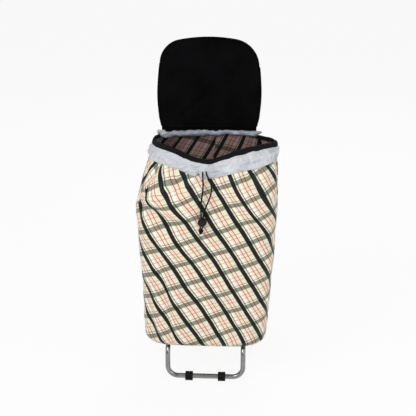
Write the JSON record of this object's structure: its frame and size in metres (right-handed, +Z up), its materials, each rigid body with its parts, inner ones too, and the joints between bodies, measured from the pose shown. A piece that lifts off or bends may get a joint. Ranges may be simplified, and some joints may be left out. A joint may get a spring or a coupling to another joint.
{
  "type": "shopping trolley",
  "caption": "Wheeled shopping trolley: soft drawstring bag with a hinged lid flap, hung on a bent tube frame with a U-shaped front foot.",
  "frame": {"origin": "on the floor, under the middle of the trolley's box", "axes": "+Z up, -Y towards the bag's front, +X to the right as seen from the front"},
  "size_m": [0.3805, 0.3825, 0.9423],
  "materials": {
    "frame_tube": "satin silver-grey paint",
    "steel_hardware": "zinc plated",
    "wheel_plastic": "satin",
    "tyre_rubber": "matt",
    "black_plastic": "satin",
    "foot_rubber": "matt",
    "grip_foam": "matt foam",
    "bag_plaid": "woven plaid, coated inside",
    "collar_nylon": "light grey nylon, slight sheen",
    "binding_tape": "black grosgrain",
    "webbing": "black webbing",
    "lid_fabric": "black lining",
    "cord": "braided",
    "base_card": "fibreboard"
  },
  "bodies": {
    "frame": {"main_frame_tube": "frame_tube", "handle_grip": "grip_foam", "upper_crossbar": "frame_tube", "middle_crossbar": "frame_tube", "side_plate_left": "frame_tube", "side_plate_right": "frame_tube", "brace_rod": "frame_tube", "axle": "steel_hardware", "axle_washers": "steel_hardware", "axle_push_nuts": "steel_hardware", "upright_plugs": "black_plastic", "foot_tube": "frame_tube", "foot_plugs": "black_plastic", "foot_pad_left": "foot_rubber", "foot_pad_right": "foot_rubber", "foot_bolts": "steel_hardware", "foot_washers": "steel_hardware", "foot_nuts": "steel_hardware", "bag_body": "bag_plaid", "bag_collar": "collar_nylon", "bag_rim_binding": "binding_tape", "base_board": "base_card", "seam_tapes": "binding_tape", "hanger_strap_left": "webbing", "hanger_strap_right": "webbing", "lower_strap": "webbing", "strap_snaps": "steel_hardware", "drawcord_channel_run": "cord", "drawcord_left": "cord", "drawcord_right": "cord", "cord_end_knot": "cord"},
    "wheel_left": {"wheel_rim_left": "wheel_plastic", "tyre_left": "tyre_rubber", "wheel_bush_left": "black_plastic", "hub_cap_left": "wheel_plastic"},
    "wheel_right": {"wheel_rim_right": "wheel_plastic", "tyre_right": "tyre_rubber", "wheel_bush_right": "black_plastic", "hub_cap_right": "wheel_plastic"},
    "lid": {"lid_panel": "lid_fabric", "lid_piping": "lid_fabric"},
    "cord_lock": {"cord_lock_body": "black_plastic", "cord_lock_spring": "steel_hardware"},
    "cord_button": {"cord_lock_button": "black_plastic"}
  },
  "joints": [
    {"name": "wheel_left_spin", "type": "hinge", "parent": "frame", "child": "wheel_left", "pos_m": [-0.1311, 0.1095, 0.07], "axis": [1, 0, 0], "continuous": true},
    {"name": "wheel_right_spin", "type": "hinge", "parent": "frame", "child": "wheel_right", "pos_m": [0.1311, 0.1095, 0.07], "axis": [1, 0, 0], "continuous": true},
    {"name": "lid_hinge", "type": "hinge", "parent": "frame", "child": "lid", "pos_m": [0, 0.052, 0.6933], "axis": [1, 0, 0], "range_deg": [0, 98]},
    {"name": "cord_lock_slide", "type": "slide", "parent": "frame", "child": "cord_lock", "axis": [0, 0, 1], "range_m": [0, 0.08], "deforming": ["drawcord_left", "drawcord_right"]},
    {"name": "cord_button_press", "type": "slide", "parent": "cord_lock", "child": "cord_button", "axis": [0, 1, 0], "range_m": [0, 0.003], "stiffness_N_per_m": 600, "springref_m": -0.002, "deforming": ["cord_lock_spring"]}
  ]
}
